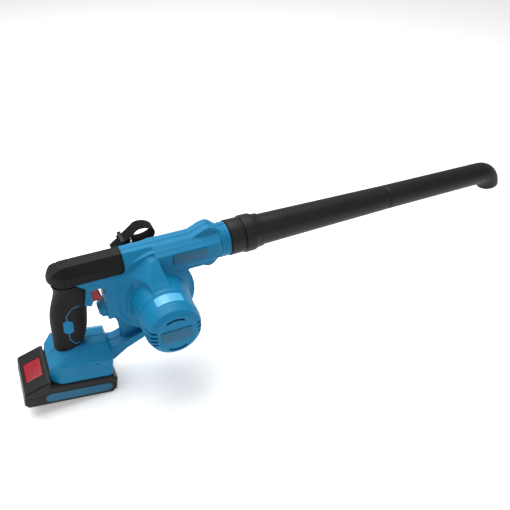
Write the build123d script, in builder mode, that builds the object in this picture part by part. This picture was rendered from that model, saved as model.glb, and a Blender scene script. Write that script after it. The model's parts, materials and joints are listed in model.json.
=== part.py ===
"""Cordless leaf blower: D-handled fan body, motor on its right side, long two-part blow tube.

Frame (millimetres): +X is the way it blows, +Z is up, and the origin is the centre of the
intake mouth on the fan axis. The joint line of the two housing shells is the plane y = MID.
"""
from build123d import *
from math import atan2, cos, radians, sin
import os

os.makedirs("parts", exist_ok=True)

# ---------------------------------------------------------------- driving dimensions
MID = -38.0  # y of the housing's joint line; the intake mouth is at y = 0
WALL = 3.0
TUBE_Z = 50.0  # blow tube axis above the fan axis
GAP = 0.3  # running clearance

# fan chamber: a scroll of three quarter arcs, each one step wider than the last
SCROLL_R = 52.0
SCROLL_STEP = 6.0
RIM_HALF = 18.0  # half depth of the rim
FACE_HALF = 26.0  # half depth between the two flat faces
BEVEL = 8.0

# outlet and its neck
OUTLET_HALF = 22.0
OUTLET_WIDE = 25.0
OUTLET_BORE = 20.0
OUTLET_END = 90.0
NECK_R = 22.5
NECK_END = 126.0
LUG_X = 78.0
LUG_HALF = 12.0

# blow tube
COLLAR_START = 107.0
COLLAR_R = 24.5
RING_R = 26.0
RING_START = 127.0
RING_END = 146.0
SOCKET_END = 154.0
TUBE_R = 21.6
SEAM_X = 361.0
SEAM_R = 18.0
TIP_R = 16.8
ELBOW_X = 540.0
ELBOW_R = 24.0
ELBOW_TURN = 76.0
LIP = 5.0
TUBE_WALL = 1.8
SPIGOT = 30.0

# handle: bar over the top, grip behind
BAR_HALF = 17.0
BAR_REAR = -129.0
PAD_FRONT = -36.0
BAR_TOP = 72.5
BAR_LOW = 47.5
BAR_FLAT = 9.0  # half width of the bar's flat top
PAD_SKIN = 2.5  # thickness of the soft rubber on bar and grip
GRIP_HALF = 17.0
# height, centre and half length of the grip's oval sections, from the bar down to the foot
GRIP_OVALS = [
    (46.0, -106.0, 20.0),
    (18.0, -107.5, 22.5),
    (-3.0, -112.5, 23.5),
    (-23.0, -115.0, 23.0),
    (-46.0, -119.5, 20.0),
    (-66.0, -122.0, 16.0),
]

# foot and battery share a base plane, pitched nose-down under the grip
PITCH = 10.0
BASE_X = -133.0
BASE_Z = -118.5
PACK_FRONT = 58.0
PACK_REAR = -61.0
PACK_HALF = 38.0
PACK_TOP = 29.7
FOOT_LOW = 30.0
FOOT_REAR = -28.0
FOOT_FRONT = 52.0
FOOT_HALF = 36.0
RAIL_END = 40.0

# motor: barrel on the right shell, vented cover over its end
BARREL_R = 40.0
BARREL_END_R = 36.5
BARREL_END = -60.0  # offset from the joint line
COVER_END = -98.0
COVER_R = 36.0
CAN_R = 23.0
SHAFT_R = 2.5
IMPELLER_R = 42.0

# intake on the left shell
COLLAR_OUT = 36.0
INTAKE_R = 31.0
INTAKE_DEPTH = 5.0
GRILLE_R = 29.0

TRIGGER_TRAVEL = 7.0


def side(offset):
    """Plane parallel to the joint line, seen from the right, at an offset from it."""
    return Plane.XZ.offset(-(MID + offset))


def across(x):
    """Plane square to the blow direction, with its middle on the joint line."""
    return Plane(origin=(x, MID, 0), x_dir=(0, 1, 0), z_dir=(1, 0, 0))


def level(z):
    """Level plane with its middle on the joint line."""
    return Plane(origin=(0, MID, z), x_dir=(1, 0, 0), z_dir=(0, 0, 1))


JOINT = side(0)
TILT = radians(PITCH)
BASE_ORIGIN = Vector(BASE_X, MID, BASE_Z)
BASE_FORWARD = Vector(cos(TILT), 0, -sin(TILT))
BASE_UP = Vector(sin(TILT), 0, cos(TILT))


def base_level(height):
    """Plane parallel to the battery's underside, at a height above it."""
    return Plane(origin=BASE_ORIGIN + BASE_UP * height, x_dir=BASE_FORWARD, z_dir=BASE_UP)


def base_side(offset):
    """Side view plane of foot and battery, at an offset from the joint line."""
    origin = BASE_ORIGIN + Vector(0, offset, 0)
    return Plane(origin=origin, x_dir=BASE_FORWARD, z_dir=(0, -1, 0))


def base_across(forward):
    """Plane square to the battery's slide, at a distance forward of its middle."""
    origin = BASE_ORIGIN + BASE_FORWARD * forward
    return Plane(origin=origin, x_dir=(0, 1, 0), z_dir=BASE_FORWARD)


def save(piece, name):
    """Label a finished piece and write its STEP file."""
    piece.part.label = name
    export_step(piece.part, f"parts/{name}.step")


# ---------------------------------------------------------------- fan chamber outlines
SCROLL_LOW = (0.0, -2.0)  # centre of the first quarter arc
SCROLL_MIDDLE = (0.0, SCROLL_LOW[1] + SCROLL_STEP)
SCROLL_HIGH = (SCROLL_STEP, SCROLL_MIDDLE[1])
CHEEK_AT = (-4.0, 2.0)
CHEEK_R = 55.5


def scroll_arcs(inset):
    """Right, bottom, left and top of the scroll, set in from its outside."""
    first = SCROLL_R - inset
    CenterArc(SCROLL_LOW, first, 0, -90)
    CenterArc(SCROLL_MIDDLE, first + SCROLL_STEP, -90, -90)
    CenterArc(SCROLL_HIGH, first + 2 * SCROLL_STEP, 180, -90)
    right = (first, SCROLL_LOW[1])
    top = (SCROLL_HIGH[0], SCROLL_HIGH[1] + first + 2 * SCROLL_STEP)
    return right, top


def scroll_block(half, inset, outlet_end):
    """The scroll with its outlet channel, from one side of the joint line to the other."""
    tongue = (45.0 - inset, TUBE_Z - OUTLET_HALF + inset)
    with BuildPart() as block:
        with BuildSketch(side(half)):
            with BuildLine():
                right, top = scroll_arcs(inset)
                Polyline(top, (outlet_end, top[1]), (outlet_end, tongue[1]), tongue)
                TangentArc(right, tongue, tangent=(0, 1))
            make_face()
        extrude(amount=2 * half)
    return block.part


def cheek(sign, inset):
    """Flat conical face of the fan chamber on one side (-1 right, 1 left), set in from its outside."""
    with BuildPart() as cone:
        outside = CHEEK_R if sign > 0 else CHEEK_R - 4
        for depth, radius in ((RIM_HALF - inset - 2, outside), (FACE_HALF - inset, outside - BEVEL)):
            with BuildSketch(side(sign * depth)):
                with Locations(CHEEK_AT):
                    Circle(radius - inset)
        loft()
    return cone.part


# ---------------------------------------------------------------- handle shapes
def grip_solid(inset):
    """The grip's oval column, set in from its outside."""
    with BuildPart() as column:
        for z, x, half in GRIP_OVALS:
            with BuildSketch(level(z)):
                with Locations((x, 0)):
                    Ellipse(half - inset, GRIP_HALF - inset)
        loft()
    return column.part


def bar_solid(inset, front, low):
    """The top bar: rounded nose at the rear, eight-sided from the front."""
    rear = BAR_REAR + inset
    top = BAR_TOP - inset
    nose = 24.0
    half = BAR_HALF - inset
    with BuildPart() as bar:
        with BuildSketch(side(BAR_HALF)):
            with BuildLine():
                Polyline((rear + 15, low), (front, low), (front, top), (rear + nose, top))
                TangentArc((rear + nose, top), (rear, top - 0.6 * nose), tangent=(-1, 0))
                Polyline((rear, top - 0.6 * nose), (rear, low + 6), (rear + 15, low))
            make_face()
        extrude(amount=2 * BAR_HALF)
        with BuildSketch(across(rear - 1)):
            Polygon(
                (-half, low),
                (half, low),
                (half, top - 12.5),
                (BAR_FLAT, top),
                (-BAR_FLAT, top),
                (-half, top - 12.5),
                align=None,
            )
        extrude(amount=front - rear + 2, mode=Mode.INTERSECT)
        # rounded nose in plan
        with BuildSketch(level(low - 1)):
            with Locations((rear + nose, 0)):
                Ellipse(nose, half)
            with Locations(((rear + nose + front + 1) / 2, 0)):
                Rectangle(front + 1 - rear - nose, 2 * half)
        extrude(amount=BAR_TOP - BAR_LOW + 2, mode=Mode.INTERSECT)
    return bar.part


# ---------------------------------------------------------------- foot
def foot_solid():
    """The block that rides on the battery: vertical sides, crowned top."""
    with BuildPart() as foot:
        with BuildSketch(base_side(FOOT_HALF)):
            Polygon(
                (FOOT_REAR, FOOT_LOW),
                (FOOT_FRONT, FOOT_LOW),
                (FOOT_FRONT, 62),
                (46, 73),
                (8, 73),
                (FOOT_REAR + 12, 64),
                (FOOT_REAR, 50),
                align=None,
            )
        extrude(amount=2 * FOOT_HALF)
        with BuildSketch(base_across(FOOT_REAR - 1)):
            Polygon(
                (-FOOT_HALF, FOOT_LOW),
                (FOOT_HALF, FOOT_LOW),
                (FOOT_HALF, 59),
                (14, 74),
                (-14, 74),
                (-FOOT_HALF, 59),
                align=None,
            )
        extrude(amount=FOOT_FRONT - FOOT_REAR + 2, mode=Mode.INTERSECT)
        with BuildSketch(base_level(FOOT_LOW - 1)):
            Polygon(
                (FOOT_REAR, -FOOT_HALF + 10),
                (FOOT_REAR + 12, -FOOT_HALF),
                (FOOT_FRONT - 3, -FOOT_HALF),
                (FOOT_FRONT, -FOOT_HALF + 3),
                (FOOT_FRONT, FOOT_HALF - 3),
                (FOOT_FRONT - 3, FOOT_HALF),
                (FOOT_REAR + 12, FOOT_HALF),
                (FOOT_REAR, FOOT_HALF - 10),
                align=None,
            )
        extrude(amount=60, mode=Mode.INTERSECT)
    return foot.part


# side view of the arm that joins the foot to the fan chamber's underside
ARM_OUTLINE = [
    (-84, -66),
    (-62, -68),
    (-25, -55.5),
    (-8, -48),
    (8, -50),
    (2, -57),
    (-22.5, -66),
    (-49, -77),
    (-68, -89.5),
    (-80, -96),
]
ARM_HALF = 16.0

# side view of the web behind the trigger, with its finger rest
WEB_OUTLINE = [
    (-64.5, 47.5),
    (-64.5, 24),
    (-66, 10),
    (-66.5, -4),
    (-66.5, -19),
    (-44, -19),
    (-20, 20),
    (-20, 47.5),
]
WEB_HALF = 16.5
# thinner below the finger rest, down to the arm
WEB_LOW_OUTLINE = [
    (-66, -10),
    (-66, -19),
    (-60, -24),
    (-55.5, -33),
    (-53.5, -44),
    (-53, -68),
    (-20, -56),
    (-20, -10),
]
WEB_LOW_HALF = 5.0
NOSE_OUTLINE = [(-64, 6), (-76, -5), (-76, -12), (-72, -18), (-60, -19), (-60, 6)]
NOSE_HALF = 9.0

# the arch: a sloping shoulder that carries the leads from the bar down to the motor barrel
ARCH_CENTRE = (-55.0, -58.0)
ARCH_R = 41.0
# offset from the joint line and height of its top, from the barrel's end back to the bar
ARCH_TOP = [(BARREL_END, 33), (-46, 43), (-34, 54), (-26, 61), (-17, 64), (0, 68)]


def arch_solid():
    """Shoulder between bar and barrel, hollowed on its rear by a flared quarter round."""
    with BuildPart() as arch:
        with BuildSketch(level(18)):
            with BuildLine():
                Polyline(
                    (ARCH_CENTRE[0], -10),
                    (ARCH_CENTRE[0], ARCH_CENTRE[1] + ARCH_R),
                    (ARCH_CENTRE[0] + ARCH_R, ARCH_CENTRE[1]),
                    (10, BARREL_END + 2),
                    (9, -45),
                    (5, -28),
                    (3, -10),
                    (ARCH_CENTRE[0], -10),
                )
            make_face()
        extrude(amount=60)
        # the top falls away towards the motor
        with BuildSketch(Plane(origin=(-90, MID, 0), x_dir=(0, 1, 0), z_dir=(1, 0, 0))):
            Polygon(*ARCH_TOP, (0, 100), (BARREL_END, 100), align=None)
        extrude(amount=150, mode=Mode.SUBTRACT)
        # quarter-round wall below, flaring outwards above
        with BuildSketch(Plane(origin=(ARCH_CENTRE[0], MID + ARCH_CENTRE[1], 0),
                               x_dir=(1, 0, 0), z_dir=(0, -1, 0))):
            Polygon(
                (0, 0),
                (ARCH_R, 0),
                (ARCH_R, 43),
                (ARCH_R + 20, 63),
                (ARCH_R + 20, 90),
                (0, 90),
                align=None,
            )
        axis_at = (ARCH_CENTRE[0], MID + ARCH_CENTRE[1], 0)
        revolve(axis=Axis(axis_at, (0, 0, 1)), mode=Mode.SUBTRACT)
    return arch.part


# x, offset from the joint line, z: out of the switch, along the bar, down the arch, over the motor
LEAD_ROUTE = [
    (-104, -4, 38.6),
    (-101, -4, 54),
    (-70, -4, 58),
    (-36, -5, 58),
    (-18, -9, 56),
    (-6, -22, 49),
    (-2, -36, 39),
    (-1.5, -50, 29.5),
    (-1.5, -76, 28.5),
    (-1.5, -84, 19),
]
LEAD_R = 1.1
LEAD_APART = 1.5
LEAD_BEND = 5.0


def lead_path(shift):
    """Wire route from switch to motor through the bar and the arch."""
    points = [(x + shift, MID + y, z + shift) for x, y, z in LEAD_ROUTE]
    return FilletPolyline(*points, radius=LEAD_BEND)


# ---------------------------------------------------------------- screws
# x, z of the housing screws, whose heads are sunk in the left shell
SCREW_SPOTS = [(LUG_X, 75), (LUG_X - 1, 24.6), (-57, 41), (-67, -8), (-47, -70)]
SCREW_HEAD_R = 3.2
SCREW_SHANK_R = 1.5
SCREW_SEAT = 8.0
SCREW_REACH = -8.0

BAR_HOLLOW = [(-116, 50), (-116, 66), (-45, 68), (-40, 62), (-47, 57), (-60, 52), (-64, 42), (-116, 42)]
TRIGGER_SLOT = [(-100, 7), (-100, 35), (-67, 35), (-67, 30), (-78, 7)]
ARM_HOLLOW = [(-66, -73), (-40, -64.5), (-24, -59), (-24, -62.5), (-48, -73), (-66, -84)]
RAIL_TOP = 41.0
RAIL_STEM = 20.5
RAIL_HEAD = 24.5
RAIL_LIP = 36.0
PLATE_R = 34.0
STRAP_X = -14.0
STRAP_Y = FACE_HALF + 7
STRAP_Z = 44.0
RING_WIRE = 1.5


def rail_outline(gap, top):
    """End view of the battery's tee rails; the foot's slot is the same outline with a gap."""
    stem = RAIL_STEM + gap
    head = RAIL_HEAD + gap
    lip = RAIL_LIP - gap
    low = PACK_TOP - 2
    return [(-stem, low), (stem, low), (stem, lip), (head, lip), (head, top), (-head, top), (-head, lip), (-stem, lip)]


# ---------------------------------------------------------------- housing, both shells
with BuildPart() as housing:
    # rim, bevels and flat faces of the fan chamber
    add(scroll_block(RIM_HALF, 0, OUTLET_END - 10))
    add(cheek(-1, 0))
    add(cheek(1, 0))
    # room for the bar's rubber pad
    add(bar_solid(0, PAD_FRONT, BAR_LOW), mode=Mode.SUBTRACT)
    # eight-sided outlet that ends in a round neck with three ribs
    with BuildSketch(across(2)):
        half = OUTLET_HALF
        flat = 10.0
        with Locations((0, TUBE_Z)):
            Polygon(
                (-OUTLET_WIDE, -flat),
                (-flat, -half),
                (flat, -half),
                (OUTLET_WIDE, -flat),
                (OUTLET_WIDE, flat + 3),
                (flat, half),
                (-flat, half),
                (-OUTLET_WIDE, flat + 3),
                align=None,
            )
    extrude(amount=OUTLET_END - 2)
    with BuildSketch(across(OUTLET_END - 6)):
        with Locations((0, TUBE_Z)):
            Circle(NECK_R)
    extrude(amount=NECK_END - OUTLET_END + 6)
    for rib in range(3):
        with BuildSketch(across(OUTLET_END + 3 + 5 * rib)):
            with Locations((0, TUBE_Z)):
                Circle(NECK_R + 1.3)
        extrude(amount=2)
    # screw lugs above and below the outlet
    with BuildSketch(side(LUG_HALF)):
        with Locations((LUG_X, 71.5)):
            Circle(9)
        Polygon((LUG_X - 30, 69), (LUG_X - 6, 79.5), (LUG_X + 6, 79.5), (LUG_X + 18, 69), align=None)
        with Locations((LUG_X - 1, 28)):
            Circle(7.5)
        Polygon((LUG_X - 18, 31), (LUG_X - 6, 21.5), (LUG_X + 4, 21.5), (LUG_X + 14, 31), align=None)
    extrude(amount=2 * LUG_HALF)
    # handle bar: thinner where the rubber pad covers it
    add(bar_solid(PAD_SKIN, PAD_FRONT, BAR_LOW))
    with BuildSketch(across(PAD_FRONT)):
        Polygon(
            (-BAR_HALF, BAR_LOW),
            (BAR_HALF, BAR_LOW),
            (BAR_HALF, BAR_TOP - 12.5),
            (BAR_FLAT, BAR_TOP),
            (-BAR_FLAT, BAR_TOP),
            (-BAR_HALF, BAR_TOP - 12.5),
            align=None,
        )
    extrude(amount=46)
    # shell under the bar, pointed at the rear, with the trigger's opening below it
    with BuildSketch(side(BAR_HALF - 1)):
        Polygon((-99, BAR_LOW), (-88, 38), (-82, 33), (-62, 33), (-30, 38), (-30, BAR_LOW), align=None)
    extrude(amount=2 * (BAR_HALF - 1))
    add(grip_solid(PAD_SKIN))
    add(foot_solid())
    with BuildSketch(side(ARM_HALF)):
        Polygon(*ARM_OUTLINE, align=None)
    extrude(amount=2 * ARM_HALF)
    with BuildSketch(side(WEB_HALF)):
        Polygon(*WEB_OUTLINE, align=None)
    extrude(amount=2 * WEB_HALF)
    with BuildSketch(side(WEB_LOW_HALF)):
        Polygon(*WEB_LOW_OUTLINE, align=None)
    extrude(amount=2 * WEB_LOW_HALF)
    with BuildSketch(side(NOSE_HALF)):
        Polygon(*NOSE_OUTLINE, align=None)
    extrude(amount=2 * NOSE_HALF)
    # trigger guide in front of the grip
    with BuildSketch(side(NOSE_HALF + 1)):
        Polygon((-96, 34), (-96, 10), (-84, 4), (-80.5, 9), (-80.5, 34), align=None)
    extrude(amount=2 * (NOSE_HALF + 1))
    # motor barrel on the right, intake collar on the left
    with BuildSketch(side(-FACE_HALF + 2)):
        Circle(BARREL_R)
    with BuildSketch(side(BARREL_END)):
        Circle(BARREL_END_R)
    loft()
    with BuildSketch(side(FACE_HALF - 2)):
        Circle(COLLAR_OUT)
    extrude(amount=-(-MID - FACE_HALF + 2))
    add(arch_solid())

    # ---- hollows
    # fan chamber: deep towards the intake, closed on the motor side by a wall
    add(scroll_block(RIM_HALF - WALL, WALL, OUTLET_END - 35), mode=Mode.SUBTRACT)
    add(cheek(1, WALL), mode=Mode.SUBTRACT)
    with BuildSketch(across(SCROLL_HIGH[0] + 30)):
        with Locations((0, TUBE_Z)):
            Circle(OUTLET_BORE)
    extrude(amount=NECK_END, mode=Mode.SUBTRACT)
    # motor barrel, open to the chamber only where the motor plate sits
    with BuildSketch(side(-FACE_HALF + 5)):
        Circle(BARREL_R - WALL)
    with BuildSketch(side(BARREL_END - 1)):
        Circle(BARREL_END_R - WALL)
    loft(mode=Mode.SUBTRACT)
    with BuildSketch(side(-RIM_HALF + WALL + 1)):
        Circle(PLATE_R + GAP)
    extrude(amount=FACE_HALF - RIM_HALF, mode=Mode.SUBTRACT)
    # intake mouth
    with BuildSketch(side(FACE_HALF - WALL - 2)):
        Circle(GRILLE_R + GAP)
    extrude(amount=-20, mode=Mode.SUBTRACT)
    with BuildSketch(side(-MID + 1)):
        Circle(INTAKE_R)
    extrude(amount=INTAKE_DEPTH + 1, mode=Mode.SUBTRACT)
    # grip, bar, foot and arm
    add(grip_solid(PAD_SKIN + WALL), mode=Mode.SUBTRACT)
    with BuildSketch(side(10)):
        Polygon(*BAR_HOLLOW, align=None)
    extrude(amount=20, mode=Mode.SUBTRACT)
    with BuildSketch(side(NOSE_HALF - 1 + GAP)):
        Polygon(*TRIGGER_SLOT, align=None)
    extrude(amount=2 * (NOSE_HALF - 1 + GAP), mode=Mode.SUBTRACT)
    with BuildSketch(base_side(FOOT_HALF - 8)):
        Polygon((-20, 47), (44, 47), (44, 59), (38, 63), (-14, 63), (-20, 56), align=None)
    extrude(amount=2 * (FOOT_HALF - 8), mode=Mode.SUBTRACT)
    with BuildSketch(side(ARM_HALF - WALL)):
        Polygon(*ARM_HOLLOW, align=None)
    extrude(amount=2 * (ARM_HALF - WALL), mode=Mode.SUBTRACT)
    # row of small vents high on both sides of the foot
    with BuildSketch(base_side(FOOT_HALF + 1)):
        with Locations((20, 54.5)):
            with GridLocations(4.2, 0, 8, 1):
                Circle(1)
    extrude(amount=2 * FOOT_HALF + 2, mode=Mode.SUBTRACT)
    # slot for the battery's rails, open at the rear and below
    with BuildSketch(base_across(FOOT_REAR - 5)):
        Polygon(*rail_outline(GAP, RAIL_TOP + 3), align=None)
    extrude(amount=RAIL_END + 2 - FOOT_REAR + 5, mode=Mode.SUBTRACT)
    # duct for the motor's leads
    with BuildLine():
        duct = lead_path(0)
    with BuildSketch(Plane(origin=duct @ 0, z_dir=duct % 0)):
        Circle(LEAD_R + LEAD_APART + 1.2)
    sweep(path=duct, mode=Mode.SUBTRACT)
    # bosses and holes of the housing screws
    with BuildSketch(side(11)):
        with Locations(*SCREW_SPOTS[2:]):
            Circle(5.5)
    extrude(amount=22)
    with BuildSketch(side(SCREW_REACH - 1)):
        with Locations(*SCREW_SPOTS):
            Circle(SCREW_SHANK_R)
    extrude(amount=-30, mode=Mode.SUBTRACT)
    with BuildSketch(side(SCREW_SEAT)):
        with Locations(*SCREW_SPOTS):
            Circle(SCREW_HEAD_R + 0.4)
    extrude(amount=-30, mode=Mode.SUBTRACT)
    # shelf with an upright hole for the strap's ring, on the left shell
    with BuildSketch(level(STRAP_Z - 2)):
        with Locations((STRAP_X, STRAP_Y - 4)):
            RectangleRounded(12, 16, 4)
            Rectangle(12, 8, align=(Align.CENTER, Align.MAX))
        with Locations((STRAP_X, STRAP_Y)):
            Circle(RING_WIRE + 0.8, mode=Mode.SUBTRACT)
    extrude(amount=4)

with BuildPart() as housing_right:
    add(housing.part)
    split(bisect_by=JOINT, keep=Keep.TOP)
save(housing_right, "housing_right")

with BuildPart() as housing_left:
    add(housing.part)
    split(bisect_by=JOINT, keep=Keep.BOTTOM)
save(housing_left, "housing_left")

with BuildPart() as housing_screws:
    with BuildSketch(side(SCREW_SEAT)):
        with Locations(*SCREW_SPOTS):
            Circle(SCREW_HEAD_R)
    extrude(amount=-2.4)
    with BuildSketch(side(SCREW_REACH)):
        with Locations(*SCREW_SPOTS):
            Circle(SCREW_SHANK_R)
    extrude(amount=SCREW_REACH - SCREW_SEAT)
    with BuildSketch(side(SCREW_SEAT + 1.4)):
        with Locations(*SCREW_SPOTS):
            Rectangle(3.6, 0.9)
            Rectangle(0.9, 3.6)
    extrude(amount=-2, mode=Mode.SUBTRACT)
save(housing_screws, "housing_screws")

# ---------------------------------------------------------------- rubber pads and grip trim
GROOVE = 0.8
GROOVE_BEND = 26.0
# three curved finger grooves near the rear, no deeper than GROOVE
with BuildPart() as pad_grooves:
    for step in range(3):
        with BuildSketch(level(BAR_LOW + 2)):
            with Locations((-74 - 8 * step, 0)):
                Circle(GROOVE_BEND)
                Circle(GROOVE_BEND - 1.4, mode=Mode.SUBTRACT)
            with Locations((-60 - 8 * step, 0)):
                Rectangle(44, 60, mode=Mode.SUBTRACT)
        extrude(amount=30)
    add(bar_solid(GROOVE, PAD_FRONT, BAR_LOW), mode=Mode.SUBTRACT)

with BuildPart() as top_pad:
    add(bar_solid(0, PAD_FRONT, BAR_LOW))
    add(bar_solid(PAD_SKIN, PAD_FRONT, BAR_LOW), mode=Mode.SUBTRACT)
    add(grip_solid(PAD_SKIN), mode=Mode.SUBTRACT)
    add(pad_grooves.part, mode=Mode.SUBTRACT)
save(top_pad, "top_pad")

INLAY_X = -117.0
INLAY_Z = -13.0
INLAY_LONG = 11.5
INLAY_WIDE = 6.5
INLAY_DEEP = 1.2
with BuildPart() as inlay_prism:
    with BuildSketch(side(GRIP_HALF + 5)):
        Polygon(
            (INLAY_X, INLAY_Z + INLAY_LONG),
            (INLAY_X + INLAY_WIDE, INLAY_Z + 0.6 * INLAY_LONG),
            (INLAY_X + INLAY_WIDE - 1, INLAY_Z - 0.7 * INLAY_LONG),
            (INLAY_X - 1, INLAY_Z - INLAY_LONG),
            (INLAY_X - INLAY_WIDE, INLAY_Z - 0.6 * INLAY_LONG),
            (INLAY_X - INLAY_WIDE + 1, INLAY_Z + 0.7 * INLAY_LONG),
            align=None,
        )
    extrude(amount=2 * (GRIP_HALF + 5))

with BuildPart() as inlay_pocket:
    add(inlay_prism.part)
    add(grip_solid(INLAY_DEEP), mode=Mode.SUBTRACT)

with BuildPart() as grip_sleeve:
    add(grip_solid(0))
    add(grip_solid(PAD_SKIN), mode=Mode.SUBTRACT)
    add(inlay_pocket.part, mode=Mode.SUBTRACT)
    # open where the bar, the trigger guide and the foot meet the grip
    add(bar_solid(0, PAD_FRONT, BAR_LOW), mode=Mode.SUBTRACT)
    with BuildSketch(side(BAR_HALF - 1)):
        Polygon((-99, BAR_LOW), (-88, 38), (-82, 33), (-66, 33), (-66, BAR_LOW), align=None)
    extrude(amount=2 * (BAR_HALF - 1), mode=Mode.SUBTRACT)
    with BuildSketch(side(NOSE_HALF + 1)):
        Polygon((-96, 34), (-96, 10), (-84, 4), (-70, 9), (-70, 34), align=None)
    extrude(amount=2 * (NOSE_HALF + 1), mode=Mode.SUBTRACT)
    add(foot_solid(), mode=Mode.SUBTRACT)
save(grip_sleeve, "grip_sleeve")

with BuildPart() as grip_inlays:
    add(grip_solid(0))
    add(grip_solid(INLAY_DEEP), mode=Mode.SUBTRACT)
    add(inlay_prism.part, mode=Mode.INTERSECT)
save(grip_inlays, "grip_inlays")

# ---------------------------------------------------------------- trigger and switch
TRIGGER_HALF = 7.5
PLUNGER_Z = 20.0
PLUNGER_R = 2.2
SWITCH_FRONT = -96.0
with BuildPart() as trigger:
    with BuildSketch(side(TRIGGER_HALF)):
        with BuildLine():
            Polyline((-70, 34), (-87, 34), (-87, 9.5), (-70.5, 9.5), (-68.5, 12.5))
            ThreePointArc((-68.5, 12.5), (-71.5, 23), (-70, 34))
        make_face()
    extrude(amount=2 * TRIGGER_HALF)
    fronts = trigger.edges().filter_by(Axis.Y).group_by(Axis.X)[-1]
    fillet(fronts, 1.2)
    with BuildSketch(across(-87)):
        with Locations((0, PLUNGER_Z)):
            Circle(PLUNGER_R)
    extrude(amount=-12)
save(trigger, "trigger")

with BuildPart() as switch_module:
    with BuildSketch(side(7)):
        Polygon((SWITCH_FRONT, 8), (SWITCH_FRONT, 32), (-114, 32), (-118, 26), (-118, 8), align=None)
    extrude(amount=14)
    with BuildSketch(across(SWITCH_FRONT)):
        with Locations((0, PLUNGER_Z)):
            Circle(PLUNGER_R + GAP)
    extrude(amount=-12, mode=Mode.SUBTRACT)
    with BuildSketch(level(32)):
        with Locations((-104, -4), (-104, 4), (-111, -4), (-111, 4)):
            Rectangle(3, 2.4)
    extrude(amount=4)
save(switch_module, "switch_module")


def coil(axis_start, direction, length, radius, wire, turns):
    """A round-wire compression spring along a direction."""
    with BuildPart() as spring:
        with BuildLine():
            helix = Helix(length / turns, length, radius, center=axis_start, direction=direction)
        with BuildSketch(Plane(origin=helix @ 0, z_dir=helix % 0)):
            Circle(wire)
        sweep(path=helix)
    return spring.part


TRIGGER_SPRING = coil((-95.4, MID, PLUNGER_Z), (1, 0, 0), 7.8, 3.4, 0.45, 5)
with BuildPart() as trigger_spring:
    add(TRIGGER_SPRING)
save(trigger_spring, "trigger_spring")

# ---------------------------------------------------------------- leads
for name, shift in (("lead_motor_red", LEAD_APART), ("lead_motor_black", -LEAD_APART)):
    with BuildPart() as lead:
        with BuildLine():
            route = lead_path(shift)
        with BuildSketch(Plane(origin=route @ 0, z_dir=route % 0)):
            Circle(LEAD_R)
        sweep(path=route)
    save(lead, name)

# from the terminal block up through the grip to the switch
SUPPLY_ROUTE = [(-118, -62), (-121, -48), (-118, -28), (-112, -10), (-111, 7.4)]
for name, y in (("lead_supply_red", 3.5), ("lead_supply_black", -3.5)):
    with BuildPart() as lead:
        with BuildLine(side(y)):
            route = FilletPolyline(*SUPPLY_ROUTE, radius=12)
        with BuildSketch(Plane(origin=route @ 0, z_dir=route % 0)):
            Circle(LEAD_R)
        sweep(path=route)
    save(lead, name)

# ---------------------------------------------------------------- motor
CAN_START = -19.0
CAN_END = -73.0
MOTOR_SCREW_AT = 17.0
with BuildPart() as motor_plate:
    with BuildSketch(side(-RIM_HALF + WALL + 1)):
        Circle(PLATE_R)
        Circle(9, mode=Mode.SUBTRACT)
        with PolarLocations(29, 4, 45):
            Circle(1.8, mode=Mode.SUBTRACT)
        with PolarLocations(MOTOR_SCREW_AT, 2):
            Circle(1.7, mode=Mode.SUBTRACT)
    extrude(amount=5)
save(motor_plate, "motor_plate")

with BuildPart() as motor_can:
    with BuildSketch(side(CAN_START)):
        Circle(CAN_R)
    extrude(amount=CAN_START - CAN_END)
    with BuildSketch(side(CAN_START - 2)):
        Circle(CAN_R - 1.5)
    extrude(amount=CAN_START - CAN_END, mode=Mode.SUBTRACT)
    with BuildSketch(side(CAN_START + 4)):
        Circle(8.5)
    extrude(amount=5)
    with BuildSketch(side(CAN_START + 5)):
        Circle(7)
    extrude(amount=6.5, mode=Mode.SUBTRACT)
    with BuildSketch(side(CAN_START + 5)):
        Circle(4)
        with PolarLocations(MOTOR_SCREW_AT, 2):
            Circle(1.7)
    extrude(amount=10, mode=Mode.SUBTRACT)
save(motor_can, "motor_can")

with BuildPart() as magnets:
    for turn in (0, 180):
        with BuildSketch(side(CAN_START - 6)):
            with BuildLine():
                CenterArc((0, 0), CAN_R - 1.6, turn - 62, 124)
                CenterArc((0, 0), CAN_R - 5.0, turn - 62, 124)
                for edge in (turn - 62, turn + 62):
                    c, s = cos(radians(edge)), sin(radians(edge))
                    Line(((CAN_R - 5.0) * c, (CAN_R - 5.0) * s), ((CAN_R - 1.6) * c, (CAN_R - 1.6) * s))
            make_face()
        extrude(amount=32)
save(magnets, "magnets")

with BuildPart() as end_bell:
    with BuildSketch(side(CAN_END)):
        Circle(CAN_R)
        Circle(12.5, mode=Mode.SUBTRACT)
        with PolarLocations(17.5, 2):
            Rectangle(7, 5, mode=Mode.SUBTRACT)
    extrude(amount=5)
    with BuildSketch(side(CAN_END - 5)):
        Circle(10)
        Circle(SHAFT_R + 0.6, mode=Mode.SUBTRACT)
        with PolarLocations(8.5, 2, 90):
            Circle(1.2, mode=Mode.SUBTRACT)
    extrude(amount=2)
    with BuildSketch(side(CAN_END - 5)):
        Circle(14)
        Circle(9.9, mode=Mode.SUBTRACT)
    extrude(amount=2)
save(end_bell, "end_bell")

with BuildPart() as brushes:
    with BuildSketch(side(CAN_END + 6)):
        with PolarLocations(11.6, 2):
            Rectangle(5.6, 4.6)
    extrude(amount=5)
save(brushes, "brushes")

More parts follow.
